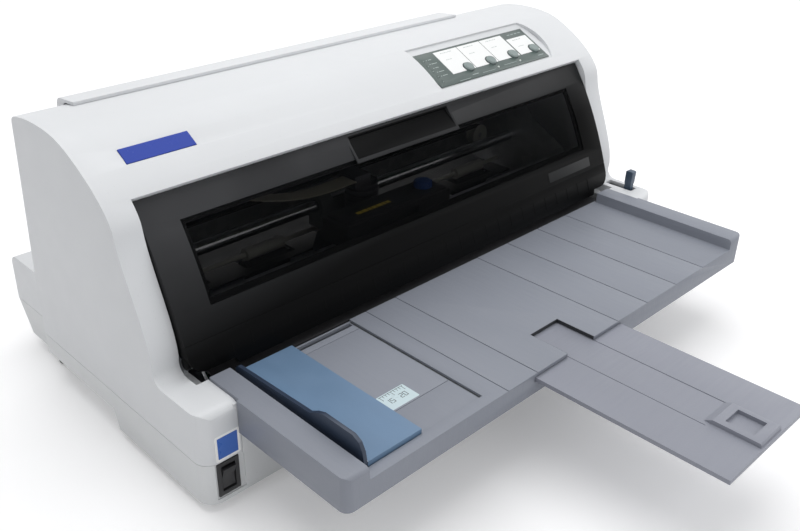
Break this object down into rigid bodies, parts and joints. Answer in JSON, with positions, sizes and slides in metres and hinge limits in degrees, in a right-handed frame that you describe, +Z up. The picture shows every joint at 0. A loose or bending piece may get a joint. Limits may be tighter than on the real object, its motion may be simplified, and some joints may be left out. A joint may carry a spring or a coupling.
{
  "type": "dot matrix printer",
  "caption": "Flatbed dot matrix printer with a smoked hinged front cover, a front paper table with sliding guide and extension, and its inner mechanism.",
  "frame": {"origin": "on the resting plane under the middle of the whole printer, with the table extension pulled out", "axes": "+X to the right seen from the front, +Y from the front table to the back, +Z up"},
  "size_m": [0.48, 0.502, 0.2132],
  "materials": {
    "case_plastic": "fine-textured moulded plastic",
    "base_plastic": "fine-textured moulded plastic",
    "cover_plastic": "smooth, half gloss",
    "smoked_window": "smoked transparent plastic, glossy",
    "table_plastic": "fine-textured moulded plastic",
    "guide_plastic": "fine-textured moulded plastic",
    "panel_film": "printed film, satin",
    "button_plastic": "smooth satin",
    "light_plastic": "clear lamp plastic",
    "badge_film": "glossy",
    "black_plastic": "fine-textured",
    "lever_plastic": "satin",
    "foot_rubber": "matte",
    "zinc_steel": "zinc-plated sheet",
    "bright_steel": "ground rod",
    "screw_steel": "zinc-plated",
    "roller_rubber": "ground rubber",
    "board_green": "solder mask",
    "board_brown": "phenolic board",
    "gear_plastic": "natural acetal",
    "motor_metal": "satin",
    "pinion_brass": "machined",
    "head_metal": "black die casting",
    "ribbon_cloth": "inked cloth",
    "cable_plastic": "flat flexible cable",
    "belt_rubber": "toothed belt",
    "knob_plastic": "satin",
    "port_metal": "plated shell"
  },
  "bodies": {
    "case": {"lower_case": "base_plastic", "upper_case": "case_plastic", "panel_overlay": "panel_film", "panel_board": "board_green", "panel_lights": "light_plastic", "badge_plate": "badge_film", "power_switch": "black_plastic", "front_table": "table_plastic", "rubber_feet": "foot_rubber", "case_screws": "screw_steel", "power_inlet": "black_plastic", "interface_ports": "port_metal", "base_plate": "zinc_steel", "main_board": "board_green", "power_board": "board_brown", "left_frame": "zinc_steel", "right_frame": "zinc_steel", "rear_beam": "zinc_steel", "front_beam": "zinc_steel", "front_paper_guide": "black_plastic", "rear_paper_guide": "black_plastic", "feed_motor": "motor_metal", "carriage_rod": "bright_steel", "head_cable": "cable_plastic", "carriage_motor": "motor_metal", "carriage_belt": "belt_rubber", "tractor_belt": "belt_rubber"},
    "front_cover": {"front_cover": "cover_plastic", "cover_window": "smoked_window"},
    "rear_cover": {"rear_cover": "case_plastic"},
    "tractor_cover": {"tractor_cover": "base_plastic"},
    "button_1": {"button_1": "button_plastic"},
    "button_2": {"button_2": "button_plastic"},
    "button_3": {"button_3": "button_plastic"},
    "button_4": {"button_4": "button_plastic"},
    "switch_rocker": {"switch_rocker": "black_plastic"},
    "thickness_lever": {"thickness_lever": "lever_plastic"},
    "edge_guide": {"edge_guide": "guide_plastic"},
    "table_extension": {"table_extension": "table_plastic"},
    "platen": {"platen": "roller_rubber"},
    "front_roller": {"front_roller": "roller_rubber"},
    "rear_roller": {"rear_roller": "roller_rubber"},
    "front_pinch": {"front_pinch": "gear_plastic"},
    "rear_pinch": {"rear_pinch": "gear_plastic"},
    "front_idler": {"front_idler_gear": "gear_plastic"},
    "rear_idler": {"rear_idler_gear": "gear_plastic"},
    "feed_idler": {"feed_idler_gear": "gear_plastic"},
    "feed_pinion": {"feed_pinion": "pinion_brass"},
    "carriage": {"carriage": "black_plastic", "print_head": "head_metal", "ribbon_cartridge": "black_plastic", "ribbon": "ribbon_cloth"},
    "ribbon_knob": {"ribbon_knob": "knob_plastic"},
    "drive_pulley": {"drive_pulley": "gear_plastic"},
    "idler_pulley": {"idler_pulley": "gear_plastic"},
    "tractor_shaft": {"tractor_shaft": "bright_steel"},
    "left_tractor": {"left_tractor": "black_plastic"},
    "right_tractor": {"right_tractor": "black_plastic"},
    "left_sprocket": {"left_sprocket": "gear_plastic"},
    "right_sprocket": {"right_sprocket": "gear_plastic"}
  },
  "joints": [
    {"name": "front_cover_hinge", "type": "hinge", "parent": "case", "child": "front_cover", "pos_m": [0, 0.0225, 0.0815], "axis": [1, 0, 0], "range_deg": [0, 70]},
    {"name": "rear_cover_hinge", "type": "hinge", "parent": "case", "child": "rear_cover", "pos_m": [0, 0.183, 0.123], "axis": [1, 0, 0], "range_deg": [-75, 0]},
    {"name": "tractor_cover_hinge", "type": "hinge", "parent": "case", "child": "tractor_cover", "pos_m": [0, 0.2295, 0.074], "axis": [1, 0, 0], "range_deg": [-80, 0]},
    {"name": "rocker_hinge", "type": "hinge", "parent": "case", "child": "switch_rocker", "pos_m": [-0.2234, -0.0173, 0.0235], "axis": [1, 0, 0], "range_deg": [-16, 0]},
    {"name": "thickness_lever_hinge", "type": "hinge", "parent": "case", "child": "thickness_lever", "pos_m": [0.231, 0, 0.04], "axis": [1, 0, 0], "range_deg": [-22, 0]},
    {"name": "edge_guide_slide", "type": "slide", "parent": "case", "child": "edge_guide", "axis": [1, 0, 0], "range_m": [0, 0.046]},
    {"name": "extension_slide", "type": "slide", "parent": "case", "child": "table_extension", "axis": [0, 1, 0], "range_m": [0, 0.124]},
    {"name": "platen_spin", "type": "hinge", "parent": "case", "child": "platen", "pos_m": [0, 0.098, 0.056], "axis": [1, 0, 0], "continuous": true},
    {"name": "front_roller_spin", "type": "hinge", "parent": "case", "child": "front_roller", "pos_m": [0, 0.067, 0.06], "axis": [1, 0, 0], "continuous": true},
    {"name": "rear_roller_spin", "type": "hinge", "parent": "case", "child": "rear_roller", "pos_m": [0, 0.129, 0.06], "axis": [1, 0, 0], "continuous": true},
    {"name": "front_pinch_spin", "type": "hinge", "parent": "case", "child": "front_pinch", "pos_m": [0, 0.067, 0.0733], "axis": [1, 0, 0], "continuous": true},
    {"name": "rear_pinch_spin", "type": "hinge", "parent": "case", "child": "rear_pinch", "pos_m": [0, 0.129, 0.0733], "axis": [1, 0, 0], "continuous": true},
    {"name": "front_idler_spin", "type": "hinge", "parent": "case", "child": "front_idler", "pos_m": [0.209, 0.08003, 0.05489], "axis": [1, 0, 0], "continuous": true},
    {"name": "rear_idler_spin", "type": "hinge", "parent": "case", "child": "rear_idler", "pos_m": [0.209, 0.11597, 0.05489], "axis": [1, 0, 0], "continuous": true},
    {"name": "feed_idler_spin", "type": "hinge", "parent": "case", "child": "feed_idler", "pos_m": [0.209, 0.05037, 0.04133], "axis": [1, 0, 0], "continuous": true},
    {"name": "feed_pinion_spin", "type": "hinge", "parent": "case", "child": "feed_pinion", "pos_m": [0.209, 0.028, 0.036], "axis": [1, 0, 0], "continuous": true},
    {"name": "tractor_shaft_spin", "type": "hinge", "parent": "case", "child": "tractor_shaft", "pos_m": [0, 0.214, 0.056], "axis": [1, 0, 0], "continuous": true},
    {"name": "carriage_slide", "type": "slide", "parent": "case", "child": "carriage", "axis": [1, 0, 0], "range_m": [-0.125, 0.125], "deforming": ["head_cable"]},
    {"name": "ribbon_knob_spin", "type": "hinge", "parent": "carriage", "child": "ribbon_knob", "pos_m": [0.033, 0.066, 0.11], "axis": [0, 0, 1], "continuous": true},
    {"name": "drive_pulley_spin", "type": "hinge", "parent": "case", "child": "drive_pulley", "pos_m": [-0.178, 0.135, 0.102], "axis": [0, 1, 0], "continuous": true},
    {"name": "idler_pulley_spin", "type": "hinge", "parent": "case", "child": "idler_pulley", "pos_m": [0.178, 0.135, 0.102], "axis": [0, 1, 0], "continuous": true},
    {"name": "left_tractor_slide", "type": "slide", "parent": "case", "child": "left_tractor", "axis": [1, 0, 0], "range_m": [-0.012, 0.12]},
    {"name": "right_tractor_slide", "type": "slide", "parent": "case", "child": "right_tractor", "axis": [1, 0, 0], "range_m": [-0.1, 0.07]},
    {"name": "left_sprocket_spin", "type": "hinge", "parent": "left_tractor", "child": "left_sprocket", "pos_m": [-0.16, 0.214, 0.056], "axis": [1, 0, 0], "continuous": true},
    {"name": "right_sprocket_spin", "type": "hinge", "parent": "right_tractor", "child": "right_sprocket", "pos_m": [0.12, 0.214, 0.056], "axis": [1, 0, 0], "continuous": true},
    {"name": "button_1_press", "type": "slide", "parent": "case", "child": "button_1", "axis": [0, -0.454, 0.891], "range_m": [-0.001, 0], "stiffness_N_per_m": 400},
    {"name": "button_2_press", "type": "slide", "parent": "case", "child": "button_2", "axis": [0, -0.454, 0.891], "range_m": [-0.001, 0], "stiffness_N_per_m": 400},
    {"name": "button_3_press", "type": "slide", "parent": "case", "child": "button_3", "axis": [0, -0.454, 0.891], "range_m": [-0.001, 0], "stiffness_N_per_m": 400},
    {"name": "button_4_press", "type": "slide", "parent": "case", "child": "button_4", "axis": [0, -0.454, 0.891], "range_m": [-0.001, 0], "stiffness_N_per_m": 400}
  ],
  "couplings": [
    {"joint": "front_idler_spin", "follows": "platen_spin", "ratio": -2},
    {"joint": "rear_idler_spin", "follows": "platen_spin", "ratio": -2},
    {"joint": "front_roller_spin", "follows": "platen_spin", "ratio": 1.5},
    {"joint": "rear_roller_spin", "follows": "platen_spin", "ratio": 1.5},
    {"joint": "front_pinch_spin", "follows": "platen_spin", "ratio": -2.4},
    {"joint": "rear_pinch_spin", "follows": "platen_spin", "ratio": -2.4},
    {"joint": "feed_idler_spin", "follows": "platen_spin", "ratio": -0.70588},
    {"joint": "feed_pinion_spin", "follows": "platen_spin", "ratio": 2},
    {"joint": "tractor_shaft_spin", "follows": "platen_spin", "ratio": 1},
    {"joint": "left_sprocket_spin", "follows": "platen_spin", "ratio": 1},
    {"joint": "right_sprocket_spin", "follows": "platen_spin", "ratio": 1},
    {"joint": "drive_pulley_spin", "follows": "carriage_slide", "rad_per_m": -125},
    {"joint": "idler_pulley_spin", "follows": "carriage_slide", "rad_per_m": -125}
  ]
}
